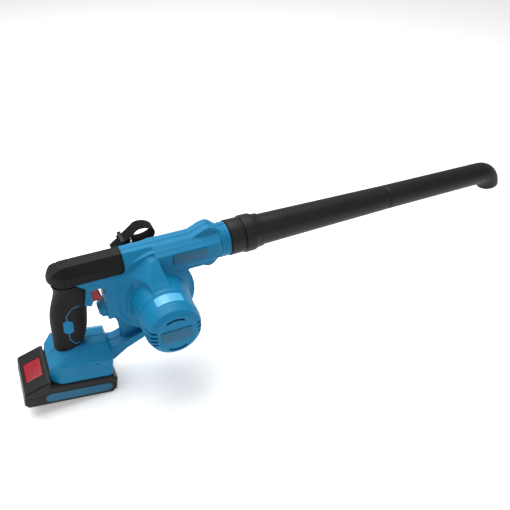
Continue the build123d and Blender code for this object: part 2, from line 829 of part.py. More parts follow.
for name, start in (("bearing_front", CAN_START + 4.8), ("bearing_rear", CAN_END - 0.2)):
    with BuildPart() as bearing:
        with BuildSketch(side(start)):
            Circle(6.9)
            Circle(SHAFT_R, mode=Mode.SUBTRACT)
        extrude(amount=4.6)
        with BuildSketch(side(start)):
            Circle(5.6)
            Circle(3.8, mode=Mode.SUBTRACT)
        extrude(amount=0.5, mode=Mode.SUBTRACT)
    save(bearing, name)

with BuildPart() as motor_shaft:
    with BuildSketch(side(13)):
        Circle(SHAFT_R)
    extrude(amount=13 - CAN_END + 6)
save(motor_shaft, "motor_shaft")

ARMATURE_SLOTS = 8
with BuildPart() as armature:
    with BuildSketch(side(CAN_START - 9)):
        Circle(15.5)
        Circle(SHAFT_R, mode=Mode.SUBTRACT)
        with PolarLocations(15.5, ARMATURE_SLOTS):
            Rectangle(6, 1.8, mode=Mode.SUBTRACT)
    extrude(amount=28)
save(armature, "armature")

with BuildPart() as windings:
    for start in (CAN_START - 4.5, CAN_START - 37.2):
        with BuildSketch(side(start)):
            Circle(12.5)
            Circle(SHAFT_R + 1.5, mode=Mode.SUBTRACT)
        extrude(amount=4.3)
save(windings, "windings")

with BuildPart() as commutator:
    with BuildSketch(side(CAN_END + 8.5)):
        Circle(8)
        Circle(SHAFT_R, mode=Mode.SUBTRACT)
    extrude(amount=8.2)
save(commutator, "commutator")

with BuildPart() as motor_screws:
    with BuildSketch(side(-RIM_HALF + WALL + 3.2)):
        with PolarLocations(MOTOR_SCREW_AT, 2):
            Circle(2.8)
    extrude(amount=2.2)
    with BuildSketch(side(-RIM_HALF + WALL + 1)):
        with PolarLocations(MOTOR_SCREW_AT, 2):
            Circle(1.6)
    extrude(amount=8)
save(motor_screws, "motor_screws")

with BuildPart() as motor_ring:
    with BuildSketch(side(-54)):
        Circle(BARREL_END_R - WALL - 0.1)
        Circle(CAN_R, mode=Mode.SUBTRACT)
        with PolarLocations(28.5, 6, 30):
            Rectangle(9, 9, mode=Mode.SUBTRACT)
    extrude(amount=5)
save(motor_ring, "motor_ring")

# ---------------------------------------------------------------- fan wheel
BLADES = 9
WHEEL_BACK = -9.0
WHEEL_FRONT = 16.0
with BuildPart() as impeller:
    with BuildSketch(side(WHEEL_BACK)):
        Circle(IMPELLER_R)
    extrude(amount=2)
    with BuildSketch(side(WHEEL_FRONT - 6)):
        Circle(7.5)
    extrude(amount=WHEEL_FRONT - 6 - WHEEL_BACK)
    for blade in range(BLADES):
        turn = 360 / BLADES * blade
        with BuildSketch(side(WHEEL_FRONT)):
            with BuildLine():
                points = []
                for radius, lag in ((7, 0), (24, 22), (IMPELLER_R, 52)):
                    angle = radians(turn + lag)
                    points.append((radius * cos(angle), radius * sin(angle)))
                ThreePointArc(*points)
            trace(line_width=1.6)
        extrude(amount=WHEEL_FRONT - WHEEL_BACK)
    with BuildSketch(side(WHEEL_FRONT + 1)):
        Circle(IMPELLER_R + 5)
        Circle(IMPELLER_R, mode=Mode.SUBTRACT)
    extrude(amount=40, mode=Mode.SUBTRACT)
    with BuildSketch(side(WHEEL_FRONT + 1)):
        Circle(SHAFT_R)
    extrude(amount=40, mode=Mode.SUBTRACT)
save(impeller, "impeller")

with BuildPart() as impeller_nut:
    with BuildSketch(side(WHEEL_FRONT - 2)):
        RegularPolygon(4, 6)
        Circle(SHAFT_R, mode=Mode.SUBTRACT)
    extrude(amount=4)
save(impeller_nut, "impeller_nut")

# ---------------------------------------------------------------- intake grille
GRILLE_SEAT = -MID - INTAKE_DEPTH - 3
with BuildPart() as intake_grille:
    with BuildSketch(side(GRILLE_SEAT)):
        Circle(GRILLE_R)
        Circle(GRILLE_R - 2.5, mode=Mode.SUBTRACT)
        Circle(20)
        Circle(18.2, mode=Mode.SUBTRACT)
        Circle(8)
        with PolarLocations(17.5, 8):
            Rectangle(21, 2)
    extrude(amount=2.4)
    with BuildSketch(side(GRILLE_SEAT + 2.6)):
        Rectangle(14, 3)
    extrude(amount=4)
save(intake_grille, "intake_grille")

# ---------------------------------------------------------------- motor cover
with BuildPart() as motor_cover:
    with BuildSketch(Plane(origin=(0, MID, 0), x_dir=(1, 0, 0), z_dir=(0, 0, 1))):
        with BuildLine():
            Polyline(
                (0, COVER_END),
                (27, COVER_END),
                (33, COVER_END + 4),
                (COVER_R, COVER_END + 14),
                (COVER_R + 0.5, BARREL_END - 0.1),
                (0, BARREL_END - 0.1),
                (0, COVER_END),
            )
        make_face()
    revolve(axis=Axis((0, MID, 0), (0, 1, 0)))
    with BuildSketch(Plane(origin=(0, MID, 0), x_dir=(1, 0, 0), z_dir=(0, 0, 1))):
        with BuildLine():
            Polyline(
                (0, COVER_END + 3),
                (26, COVER_END + 3),
                (30.5, COVER_END + 6),
                (COVER_R - 2.6, COVER_END + 15),
                (COVER_R - 2.1, BARREL_END),
                (0, BARREL_END),
                (0, COVER_END + 3),
            )
        make_face()
    revolve(axis=Axis((0, MID, 0), (0, 1, 0)), mode=Mode.SUBTRACT)
    # four vents on the left of the end face, three on its right, wrapping round the corner
    with BuildSketch(side(COVER_END + 17)):
        with Locations((-33, 7.5), (-33, 1.5), (-33, -4.5), (-33, -10.5)):
            Rectangle(18, 2.6)
        with Locations((33, 6), (33, 0), (33, -6)):
            Rectangle(13, 2.6)
    extrude(amount=30, mode=Mode.SUBTRACT)
    # long arc vents above and below the badge
    with BuildSketch(side(COVER_END + 6)):
        for low in (60, 240):
            with BuildLine():
                CenterArc((0, -2), 24.5, low, 60)
                CenterArc((0, -2), 22.0, low, 60)
                for edge in (low, low + 60):
                    c, s = cos(radians(edge)), sin(radians(edge))
                    Line((22.0 * c, 22.0 * s - 2), (24.5 * c, 24.5 * s - 2))
            make_face()
    extrude(amount=20, mode=Mode.SUBTRACT)
save(motor_cover, "motor_cover")

BADGE_WIDE = 39.0
BADGE_HIGH = 17.5
with BuildPart() as badge_plate:
    with BuildSketch(side(COVER_END)):
        with Locations((0, -2)):
            RectangleRounded(BADGE_WIDE, BADGE_HIGH, 2)
    extrude(amount=1)
save(badge_plate, "badge_plate")

with BuildPart() as model_plate:
    with BuildSketch(side(-OUTLET_WIDE)):
        with Locations((47, 54)):
            RectangleRounded(46, 15, 1.5)
    extrude(amount=1)
save(model_plate, "model_plate")

with BuildPart() as rating_label:
    with BuildSketch(side(COVER_END + 18)):
        with BuildLine():
            CenterArc((0, 0), COVER_R + 0.75, 60, 56)
            CenterArc((0, 0), COVER_R + 0.45, 60, 56)
            for edge in (60, 116):
                c, s = cos(radians(edge)), sin(radians(edge))
                Line(((COVER_R + 0.45) * c, (COVER_R + 0.45) * s), ((COVER_R + 0.75) * c, (COVER_R + 0.75) * s))
        make_face()
    extrude(amount=-16)
save(rating_label, "rating_label")

# ---------------------------------------------------------------- blow tube
with BuildPart() as nozzle_collar:
    with BuildSketch(Plane(origin=(0, MID, TUBE_Z), x_dir=(1, 0, 0), z_dir=(0, -1, 0))):
        Polygon(
            (COLLAR_START, NECK_R + GAP),
            (COLLAR_START, COLLAR_R - 0.8),
            (COLLAR_START + 0.8, COLLAR_R),
            (RING_START, COLLAR_R),
            (RING_START + 1, RING_R),
            (RING_END - 1, RING_R),
            (RING_END, RING_R - 1.5),
            (SOCKET_END, TUBE_R + 2),
            (SOCKET_END, TUBE_R),
            (NECK_END + 3, TUBE_R),
            (NECK_END + 3, OUTLET_BORE),
            (NECK_END + GAP, OUTLET_BORE),
            (NECK_END + GAP, NECK_R + GAP),
            align=None,
        )
    revolve(axis=Axis((0, MID, TUBE_Z), (1, 0, 0)))
    # finger ribs round the ring
    with BuildSketch(across(RING_START + 3)):
        with Locations((0, TUBE_Z)):
            with PolarLocations(RING_R, 24):
                Circle(0.7)
    extrude(amount=RING_END - RING_START - 6, mode=Mode.SUBTRACT)
save(nozzle_collar, "nozzle_collar")

with BuildPart() as tube_rear:
    with BuildSketch(Plane(origin=(0, MID, TUBE_Z), x_dir=(1, 0, 0), z_dir=(0, -1, 0))):
        Polygon(
            (NECK_END + 3, TUBE_R - TUBE_WALL),
            (NECK_END + 3, TUBE_R),
            (SOCKET_END, TUBE_R),
            (SEAM_X - 0.1, SEAM_R),
            (SEAM_X - 0.1, SEAM_R - TUBE_WALL),
            (SEAM_X + SPIGOT, SEAM_R - TUBE_WALL - 0.6),
            (SEAM_X + SPIGOT, SEAM_R - 2 * TUBE_WALL - 0.6),
            (SEAM_X - 0.1, SEAM_R - 2 * TUBE_WALL),
            align=None,
        )
    revolve(axis=Axis((0, MID, TUBE_Z), (1, 0, 0)))
save(tube_rear, "tube_rear")


def elbow_tube(radius, start_radius):
    """Solid of the front tube: a slow taper, then a short elbow turned down to the mouth."""
    with BuildPart() as tube:
        with BuildSketch(across(SEAM_X + 0.1)):
            with Locations((0, TUBE_Z)):
                Circle(start_radius)
        with BuildSketch(across(ELBOW_X)):
            with Locations((0, TUBE_Z)):
                Circle(radius)
        loft()
        with BuildSketch(across(ELBOW_X)):
            with Locations((0, TUBE_Z)):
                Circle(radius)
        pivot = Vector(ELBOW_X, MID, TUBE_Z - ELBOW_R)
        revolve(axis=Axis(pivot, (0, 1, 0)), revolution_arc=ELBOW_TURN)
        turn = radians(ELBOW_TURN)
        with BuildSketch(Plane(origin=pivot + Vector(sin(turn), 0, cos(turn)) * ELBOW_R,
                               x_dir=(0, 1, 0), z_dir=(cos(turn), 0, -sin(turn)))):
            Circle(radius)
        extrude(amount=LIP)
    return tube.part


with BuildPart() as tube_front:
    add(elbow_tube(TIP_R, SEAM_R))
    add(elbow_tube(TIP_R - TUBE_WALL, SEAM_R - TUBE_WALL + 0.05), mode=Mode.SUBTRACT)
    # detent bump that locks the two tubes
    with BuildSketch(Plane(origin=(SEAM_X + 66, MID - SEAM_R + 1, TUBE_Z), x_dir=(1, 0, 0), z_dir=(0, -1, 0))):
        SlotOverall(9, 4)
    extrude(amount=1.1)
save(tube_front, "tube_front")


# ---------------------------------------------------------------- battery pack
CASE_SPLIT = 16.0
CASE_WALL = 3.0
BUTTON_WIDE = 34.0
BUTTON_LONG = 23.0
BUTTON_THICK = 5.0
BUTTON_TRAVEL = 3.0
SLOPE_LOW = (-60.0, 24.0)
SLOPE_HIGH = (-32.0, 38.0)
SLOPE = atan2(SLOPE_HIGH[1] - SLOPE_LOW[1], SLOPE_HIGH[0] - SLOPE_LOW[0])
SLOPE_ALONG = BASE_FORWARD * cos(SLOPE) + BASE_UP * sin(SLOPE)
SLOPE_OUT = BASE_UP * cos(SLOPE) - BASE_FORWARD * sin(SLOPE)
SLOPE_MIDDLE = (
    BASE_ORIGIN
    + BASE_FORWARD * ((SLOPE_LOW[0] + SLOPE_HIGH[0]) / 2)
    + BASE_UP * ((SLOPE_LOW[1] + SLOPE_HIGH[1]) / 2)
)
BLADE_SPOTS = (-14, -6, 6, 14)
CASE_SCREWS = ((-48, -33), (-48, 33), (48, -33), (48, 33))


def slope_plane(height):
    """Plane of the release button's slope, at a height out of it."""
    return Plane(origin=SLOPE_MIDDLE + SLOPE_OUT * height, x_dir=SLOPE_ALONG, z_dir=SLOPE_OUT)


with BuildPart() as battery_case:
    with BuildSketch(base_side(PACK_HALF)):
        Polygon(
            (PACK_REAR, 5),
            (PACK_REAR + 5, 0),
            (PACK_FRONT - 6, 0),
            (PACK_FRONT, 6),
            (PACK_FRONT, 24),
            (PACK_FRONT - 6, PACK_TOP),
            (FOOT_REAR - GAP, PACK_TOP),
            (FOOT_REAR - GAP, SLOPE_HIGH[1]),
            SLOPE_HIGH,
            SLOPE_LOW,
            (PACK_REAR, SLOPE_LOW[1] - 3),
            align=None,
        )
    extrude(amount=2 * PACK_HALF)
    outer = battery_case.edges().filter_by(lambda e: abs(e.center().Y - MID) > PACK_HALF - 1)
    chamfer(outer, 1.6)
    with BuildSketch(base_across(FOOT_REAR - GAP)):
        Polygon(*rail_outline(0, RAIL_TOP), align=None)
    extrude(amount=RAIL_END - FOOT_REAR + GAP)
    # inside: cells below, electronics under the rails
    with BuildSketch(base_side(PACK_HALF - CASE_WALL)):
        Polygon((-54, 3), (54, 3), (54, 26), (-54, 26), align=None)
    extrude(amount=2 * (PACK_HALF - CASE_WALL), mode=Mode.SUBTRACT)
    with BuildSketch(base_side(17.5)):
        Polygon((-24, 20), (38, 20), (38, 34), (-24, 34), align=None)
    extrude(amount=35, mode=Mode.SUBTRACT)
    # contact slots in the front of the rails
    with BuildSketch(base_level(34)):
        for v in BLADE_SPOTS:
            with Locations((31, v)):
                Rectangle(22, 3.6)
    extrude(amount=20, mode=Mode.SUBTRACT)
    # seats of the case screws
    with BuildSketch(base_level(0)):
        with Locations(*CASE_SCREWS):
            Circle(2.9)
    extrude(amount=2.9, mode=Mode.SUBTRACT)
    # well of the release button
    with BuildSketch(slope_plane(5)):
        RectangleRounded(BUTTON_LONG + 1, BUTTON_WIDE + 1, 1.5)
    extrude(amount=-5 - BUTTON_THICK - BUTTON_TRAVEL - 0.5, mode=Mode.SUBTRACT)

SPLIT_PLANE = base_level(CASE_SPLIT)
with BuildPart() as battery_top:
    add(battery_case.part)
    split(bisect_by=SPLIT_PLANE, keep=Keep.TOP)
save(battery_top, "battery_top")

with BuildPart() as battery_bottom:
    add(battery_case.part)
    split(bisect_by=SPLIT_PLANE, keep=Keep.BOTTOM)
save(battery_bottom, "battery_bottom")

with BuildPart() as battery_button:
    with BuildSketch(slope_plane(-0.5)):
        RectangleRounded(BUTTON_LONG, BUTTON_WIDE, 1.2)
    extrude(amount=-BUTTON_THICK)
    # ribs for the thumb
    with BuildSketch(slope_plane(-0.5)):
        for row in range(5):
            with Locations((-4 + 2.6 * row, 0)):
                Rectangle(1.2, BUTTON_WIDE - 8)
    extrude(amount=0.7)
save(battery_button, "battery_button")

CELL_R = 9.1
with BuildPart() as battery_cells:
    for cell in range(5):
        with BuildSketch(base_side(32.5)):
            with Locations((-39 + 19.5 * cell, 3.2 + CELL_R)):
                Circle(CELL_R)
        extrude(amount=65)
save(battery_cells, "battery_cells")

with BuildPart() as pack_board:
    with BuildSketch(base_level(22.5)):
        Rectangle(80, 50)
    extrude(amount=1.6)
    with BuildSketch(base_level(24.1)):
        with Locations((-10, -8), (6, 9), (20, -4)):
            Rectangle(9, 7)
    extrude(amount=1.4)
save(pack_board, "pack_board")

with BuildPart() as battery_contacts:
    with BuildSketch(base_level(34.1)):
        for v in BLADE_SPOTS:
            for leaf in (-1.2, 1.2):
                with Locations((29, v + leaf)):
                    Rectangle(14, 0.6)
    extrude(amount=5)
save(battery_contacts, "battery_contacts")

for name, sign in (("battery_label_right", -1), ("battery_label_left", 1)):
    with BuildPart() as label:
        with BuildSketch(base_side(sign * PACK_HALF)):
            with Locations((8, 12)):
                SlotOverall(86, 13)
        extrude(amount=-0.3 * sign)
    save(label, name)

with BuildPart() as battery_screws:
    with BuildSketch(base_level(0.6)):
        with Locations(*CASE_SCREWS):
            Circle(2.7)
    extrude(amount=2)
save(battery_screws, "battery_screws")

# ---------------------------------------------------------------- foot electronics
with BuildPart() as terminal_block:
    with BuildSketch(base_level(RAIL_LIP + 0.5)):
        with Locations((RAIL_END + 1, 0)):
            Rectangle(1.8, 40)
    extrude(amount=6.5)
save(terminal_block, "terminal_block")

with BuildPart() as terminal_blades:
    with BuildSketch(base_level(RAIL_LIP)):
        for v in BLADE_SPOTS:
            with Locations((31, v)):
                Rectangle(18, 0.8)
    extrude(amount=5)
save(terminal_blades, "terminal_blades")

with BuildPart() as control_board:
    with BuildSketch(base_level(49)):
        with Locations((14, 0)):
            Rectangle(52, 44)
    extrude(amount=1.6)
    with BuildSketch(base_level(50.6)):
        with Locations((6, -12), (6, 12), (26, -12)):
            Rectangle(10, 8)
        with Locations((28, 10)):
            Circle(5)
    extrude(amount=7)
save(control_board, "control_board")

# ---------------------------------------------------------------- strap on the left shell
RING_WIDE = 26.0
RING_LOW = STRAP_Z - 4.5
RING_TOP = STRAP_Z + 14
with BuildPart() as strap_ring:
    with BuildLine(across(STRAP_X)):
        loop = FilletPolyline(
            (STRAP_Y, RING_LOW),
            (STRAP_Y + RING_WIDE, RING_LOW),
            (STRAP_Y + RING_WIDE, RING_TOP),
            (STRAP_Y, RING_TOP),
            radius=2.5,
            close=True,
        )
    with BuildSketch(Plane(origin=loop @ 0, z_dir=loop % 0)):
        Circle(RING_WIRE)
    sweep(path=loop)
save(strap_ring, "strap_ring")

# webbing: its tail comes from behind the pad, runs under the ring's bar, makes an open loop
# and comes back over the bar to lie on its own tail, held there by the keeper
WEBBING = 1.6
WEBBING_NEAR = STRAP_Y + RING_WIRE + 0.6
WEBBING_WIDE = 22.0
with BuildPart() as strap_webbing:
    with BuildSketch(side(WEBBING_NEAR + WEBBING_WIDE)):
        with BuildLine():
            Spline(
                (STRAP_X - 25, RING_TOP - 13),
                (STRAP_X - 13, RING_TOP - 5.2),
                (STRAP_X, RING_TOP - 3.2),
                (STRAP_X + 14, RING_TOP - 7),
                (STRAP_X + 29, RING_TOP - 3),
                (STRAP_X + 33, RING_TOP + 6),
                (STRAP_X + 24, RING_TOP + 13),
                (STRAP_X + 12, RING_TOP + 14),
                (STRAP_X + 3, RING_TOP + 8),
                (STRAP_X - 6, RING_TOP + 1.4),
                (STRAP_X - 15, RING_TOP - 2.2),
            )
        trace(line_width=WEBBING)
    extrude(amount=WEBBING_WIDE)
save(strap_webbing, "strap_webbing")

KEEPER_X = STRAP_X - 13.0
with BuildPart() as strap_keeper:
    with BuildSketch(across(KEEPER_X)):
        with Locations((WEBBING_NEAR + WEBBING_WIDE / 2, RING_TOP - 3.2)):
            RectangleRounded(WEBBING_WIDE + 4.6, 13, 1.5)
            Rectangle(WEBBING_WIDE + 1, 9.4, mode=Mode.SUBTRACT)
    extrude(amount=5)
save(strap_keeper, "strap_keeper")

# ---------------------------------------------------------------- small parts
with BuildPart() as collar_seal:
    with BuildSketch(Plane(origin=(0, MID, TUBE_Z), x_dir=(1, 0, 0), z_dir=(0, -1, 0))):
        with Locations((COLLAR_START - 1, NECK_R + 1)):
            Circle(0.9)
    revolve(axis=Axis((0, MID, TUBE_Z), (1, 0, 0)))
save(collar_seal, "collar_seal")
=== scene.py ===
import json
from math import cos, pi, radians, sin, sqrt

import bmesh
import bpy
from mathutils import Matrix, Vector


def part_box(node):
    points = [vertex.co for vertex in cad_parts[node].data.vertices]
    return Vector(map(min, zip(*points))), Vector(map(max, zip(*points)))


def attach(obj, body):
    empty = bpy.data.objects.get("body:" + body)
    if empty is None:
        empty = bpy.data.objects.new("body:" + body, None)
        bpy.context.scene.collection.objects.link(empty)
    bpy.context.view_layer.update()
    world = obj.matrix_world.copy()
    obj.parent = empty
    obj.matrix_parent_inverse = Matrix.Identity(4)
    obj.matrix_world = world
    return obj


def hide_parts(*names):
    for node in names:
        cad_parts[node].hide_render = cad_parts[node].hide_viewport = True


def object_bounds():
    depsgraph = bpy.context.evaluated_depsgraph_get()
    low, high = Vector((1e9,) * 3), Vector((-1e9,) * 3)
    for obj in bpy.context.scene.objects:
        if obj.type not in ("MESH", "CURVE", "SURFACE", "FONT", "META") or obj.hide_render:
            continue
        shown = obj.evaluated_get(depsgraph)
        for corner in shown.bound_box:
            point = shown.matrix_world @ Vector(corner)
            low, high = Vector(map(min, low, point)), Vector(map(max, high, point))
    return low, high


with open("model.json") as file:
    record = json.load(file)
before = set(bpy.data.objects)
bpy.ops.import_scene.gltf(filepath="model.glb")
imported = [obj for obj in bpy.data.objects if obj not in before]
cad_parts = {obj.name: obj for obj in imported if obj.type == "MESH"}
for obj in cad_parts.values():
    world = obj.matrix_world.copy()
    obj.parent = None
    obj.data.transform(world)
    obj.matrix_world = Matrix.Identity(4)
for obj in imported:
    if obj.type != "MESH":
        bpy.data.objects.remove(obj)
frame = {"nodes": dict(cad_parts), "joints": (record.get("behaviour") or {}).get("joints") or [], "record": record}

CAD_LOW, CAD_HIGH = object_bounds()
SCENE = bpy.context.scene
NODES = frame["nodes"]
JOINTS = {joint["name"]: joint for joint in frame["joints"]}
BODY_OF = {
    node: body
    for body, members in frame["record"]["behaviour"]["bodies"].items()
    for node in members
}
SLOT_OF = {s["node"]: s["material_slot"] for s in frame["record"]["subparts"]}
MM = 0.001

# ------------------------------------------------------------------ camera
CAMERA_AT = Vector((-0.13825, -0.66015, 0.50440))
CAMERA_RIGHT = Vector((0.9078, -0.4195, 0.0))
CAMERA_BACK = Vector((-0.3398, -0.7353, 0.5864))
SENSOR = 36.0
FOCAL_IN_FRAMES = 600 / 510

camera = bpy.data.objects.new("camera", bpy.data.cameras.new("camera"))
camera.data.sensor_width = SENSOR
camera.data.lens = SENSOR * FOCAL_IN_FRAMES
camera.data.clip_start = 0.01
up = CAMERA_BACK.cross(CAMERA_RIGHT).normalized()
camera.matrix_world = Matrix((
    (CAMERA_RIGHT.x, up.x, CAMERA_BACK.x, CAMERA_AT.x),
    (CAMERA_RIGHT.y, up.y, CAMERA_BACK.y, CAMERA_AT.y),
    (CAMERA_RIGHT.z, up.z, CAMERA_BACK.z, CAMERA_AT.z),
    (0, 0, 0, 1),
))
SCENE.collection.objects.link(camera)
SCENE.camera = camera
SCENE.view_settings.view_transform = "Standard"


# ------------------------------------------------------------------ materials
def moulded(name, colour, roughness=0.45, grain=0.00035, grain_depth=0.03, mottle=0.12,
            wear=0.10, metallic=0.0, coat=0.0, sheen=0.0, specular=0.5):
    """Moulded or machined surface: fine grain, slow mottling and slightly worn edges."""
    material = bpy.data.materials.new(name)
    material.use_nodes = True
    tree = material.node_tree
    make, link = tree.nodes.new, tree.links.new
    shader = tree.nodes["Principled BSDF"]
    shader.inputs["Metallic"].default_value = metallic
    shader.inputs["Coat Weight"].default_value = coat
    shader.inputs["Coat Roughness"].default_value = 0.2
    shader.inputs["Sheen Weight"].default_value = sheen
    shader.inputs["Specular IOR Level"].default_value = specular
    place = make("ShaderNodeTexCoord")

    slow = make("ShaderNodeTexNoise")
    slow.inputs["Scale"].default_value = 28.0
    slow.inputs["Detail"].default_value = 5.0
    link(place.outputs["Object"], slow.inputs["Vector"])
    shade = make("ShaderNodeValToRGB")
    shade.color_ramp.elements[0].position = 0.3
    shade.color_ramp.elements[1].position = 0.7
    dark = tuple(c * (1 - mottle) for c in colour)
    light = tuple(min(1.0, c * (1 + mottle)) for c in colour)
    shade.color_ramp.elements[0].color = (*dark, 1)
    shade.color_ramp.elements[1].color = (*light, 1)
    link(slow.outputs["Fac"], shade.inputs["Fac"])

    geometry = make("ShaderNodeNewGeometry")
    edge = make("ShaderNodeMapRange")
    edge.inputs["From Min"].default_value = 0.52
    edge.inputs["From Max"].default_value = 0.62
    edge.inputs["To Max"].default_value = wear
    link(geometry.outputs["Pointiness"], edge.inputs["Value"])
    worn = make("ShaderNodeMix")
    worn.data_type = "RGBA"
    link(edge.outputs["Result"], worn.inputs["Factor"])
    link(shade.outputs["Color"], worn.inputs["A"])
    worn.inputs["B"].default_value = (*[min(1.0, c * 1.6 + 0.03) for c in colour], 1)
    link(worn.outputs["Result"], shader.inputs["Base Color"])

    fine = make("ShaderNodeTexNoise")
    fine.inputs["Scale"].default_value = 1 / grain
    fine.inputs["Detail"].default_value = 3.0
    link(place.outputs["Object"], fine.inputs["Vector"])
    gloss = make("ShaderNodeMapRange")
    gloss.inputs["To Min"].default_value = max(0.02, roughness - 0.07)
    gloss.inputs["To Max"].default_value = min(1.0, roughness + 0.10)
    link(slow.outputs["Fac"], gloss.inputs["Value"])
    link(gloss.outputs["Result"], shader.inputs["Roughness"])
    bump = make("ShaderNodeBump")
    bump.inputs["Strength"].default_value = 0.35
    bump.inputs["Distance"].default_value = grain_depth * MM
    link(fine.outputs["Fac"], bump.inputs["Height"])
    link(bump.outputs["Normal"], shader.inputs["Normal"])
    return material


def woven(name, colour, pitch):
    """Close ribbed webbing: two crossed thread waves in the band's own width and length."""
    material = moulded(name, colour, roughness=0.85, grain=0.0004, grain_depth=0.1,
                       mottle=0.25, wear=0.2, sheen=0.03, specular=0.12)
    tree = material.node_tree
    make, link = tree.nodes.new, tree.links.new
    shader = tree.nodes["Principled BSDF"]
    place = make("ShaderNodeTexCoord")
    weft = make("ShaderNodeTexWave")
    weft.bands_direction = "Y"
    weft.inputs["Scale"].default_value = 1 / pitch / 3
    weft.inputs["Distortion"].default_value = 0.6
    link(place.outputs["Object"], weft.inputs["Vector"])
    warp = make("ShaderNodeTexWave")
    warp.bands_direction = "DIAGONAL"
    warp.inputs["Scale"].default_value = 1 / pitch / 4
    link(place.outputs["Object"], warp.inputs["Vector"])
    both = make("ShaderNodeMath")
    both.operation = "MULTIPLY"
    link(weft.outputs["Fac"], both.inputs[0])
    link(warp.outputs["Fac"], both.inputs[1])
    bump = make("ShaderNodeBump")
    bump.inputs["Strength"].default_value = 0.7
    bump.inputs["Distance"].default_value = 0.25 * MM
    link(both.outputs["Value"], bump.inputs["Height"])
    link(bump.outputs["Normal"], shader.inputs["Normal"])
    return material


BLUE = (0.002, 0.172, 0.345)
BLACK = (0.005, 0.005, 0.0057)
LOOK = {
    "blue_shell": moulded("blue_shell", BLUE, roughness=0.50, mottle=0.05, wear=0.10,
                          specular=0.22),
    "blue_plate": moulded("blue_plate", (0.003, 0.105, 0.200), roughness=0.42, mottle=0.05,
                          specular=0.3),
    "black_rubber": moulded("black_rubber", (0.004, 0.004, 0.0045), roughness=0.62,
                            grain=0.0005, grain_depth=0.09, mottle=0.2, wear=0.05,
                            sheen=0.03, specular=0.2),
    "black_plastic": moulded("black_plastic", BLACK, roughness=0.42, mottle=0.15, wear=0.05,
                             specular=0.25),
    "red_plastic": moulded("red_plastic", (0.30, 0.004, 0.012), roughness=0.35, mottle=0.08,
                           coat=0.1, specular=0.3),
    "steel": moulded("steel", (0.56, 0.57, 0.59), roughness=0.28, metallic=1.0, mottle=0.08),
    "zinc_screw": moulded("zinc_screw", (0.10, 0.10, 0.11), roughness=0.4, metallic=1.0),
    "magnet": moulded("magnet", (0.08, 0.08, 0.085), roughness=0.6),
    "copper": moulded("copper", (0.55, 0.22, 0.10), roughness=0.3, metallic=1.0),
    "brass_contact": moulded("brass_contact", (0.72, 0.50, 0.20), roughness=0.25, metallic=1.0),
    "board": moulded("board", (0.01, 0.12, 0.04), roughness=0.35, coat=0.4),
    "cell_wrap": moulded("cell_wrap", (0.02, 0.22, 0.19), roughness=0.3, coat=0.3),
    "wire_red": moulded("wire_red", (0.45, 0.01, 0.01), roughness=0.4),
    "wire_black": moulded("wire_black", (0.01, 0.01, 0.01), roughness=0.4),
    "pale_label": moulded("pale_label", (0.06, 0.36, 0.58), roughness=0.35, mottle=0.06,
                          coat=0.3),
    "webbing": woven("webbing", (0.004, 0.004, 0.0045), 0.0011),
}
LOOK["tube_black"] = moulded("tube_black", (0.008, 0.008, 0.0095), roughness=0.45, grain=0.0006,
                             grain_depth=0.05, mottle=0.12, wear=0.02, specular=0.25)
LOOK["thin_blue"] = moulded("thin_blue", (0.03, 0.22, 0.42), roughness=0.45)


def paint(obj, look):
    """Give an object one material in all its slots."""
    obj.data.materials.clear()
    obj.data.materials.append(LOOK[look])
    return obj


for node, obj in NODES.items():
    paint(obj, SLOT_OF[node])


# ------------------------------------------------------------------ building pieces
def apply_all(obj):
    """Replace the object's mesh by its evaluated one."""
    graph = bpy.context.evaluated_depsgraph_get()
    mesh = bpy.data.meshes.new_from_object(obj.evaluated_get(graph))
    obj.modifiers.clear()
    obj.data = mesh
    return obj


def finish_piece(obj, node, look):
    """Paint the piece and let it stand for its CAD node, on the node's body."""
    paint(obj, look)
    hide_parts(node)
    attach(obj, BODY_OF[node])
    return obj


def copy_node(node, name):
    """A welded copy of a CAD node's mesh, free of its flat triangles' inner edges."""
    obj = bpy.data.objects.new(name, NODES[node].data.copy())
    SCENE.collection.objects.link(obj)
    mesh = bmesh.new()
    mesh.from_mesh(obj.data)
    bmesh.ops.remove_doubles(mesh, verts=mesh.verts, dist=2e-6)
    bmesh.ops.dissolve_limit(mesh, angle_limit=radians(0.6), verts=mesh.verts, edges=mesh.edges)
    mesh.to_mesh(obj.data)
    mesh.free()
    return obj


def edged(node, look, width, segments=3, angle=28):
    """Copy of a CAD node whose sharp edges are rounded."""
    obj = copy_node(node, node + "_piece")
    bevel = obj.modifiers.new("round", "BEVEL")
    bevel.width = width
    bevel.segments = segments
    bevel.limit_method = "ANGLE"
    bevel.angle_limit = radians(angle)
    bevel.harden_normals = False
    apply_all(obj)
    obj.data.shade_smooth()
    obj.data.set_sharp_from_angle(angle=radians(40))
    return finish_piece(obj, node, look)


def soft_moulded(node, look, voxel, rounds):
    """Copy of a CAD node remeshed and relaxed, so that every edge is a soft moulded radius."""
    obj = bpy.data.objects.new(node + "_piece", NODES[node].data.copy())
    SCENE.collection.objects.link(obj)
    mesh = bmesh.new()
    mesh.from_mesh(obj.data)
    bmesh.ops.remove_doubles(mesh, verts=mesh.verts, dist=2e-6)
    mesh.to_mesh(obj.data)
    mesh.free()
    remesh = obj.modifiers.new("remesh", "REMESH")
    remesh.mode = "VOXEL"
    remesh.voxel_size = voxel
    remesh.adaptivity = 0.0
    relax = obj.modifiers.new("relax", "SMOOTH")
    relax.factor = 0.5
    relax.iterations = rounds
    apply_all(obj)
    obj.data.shade_smooth()
    return finish_piece(obj, node, look)


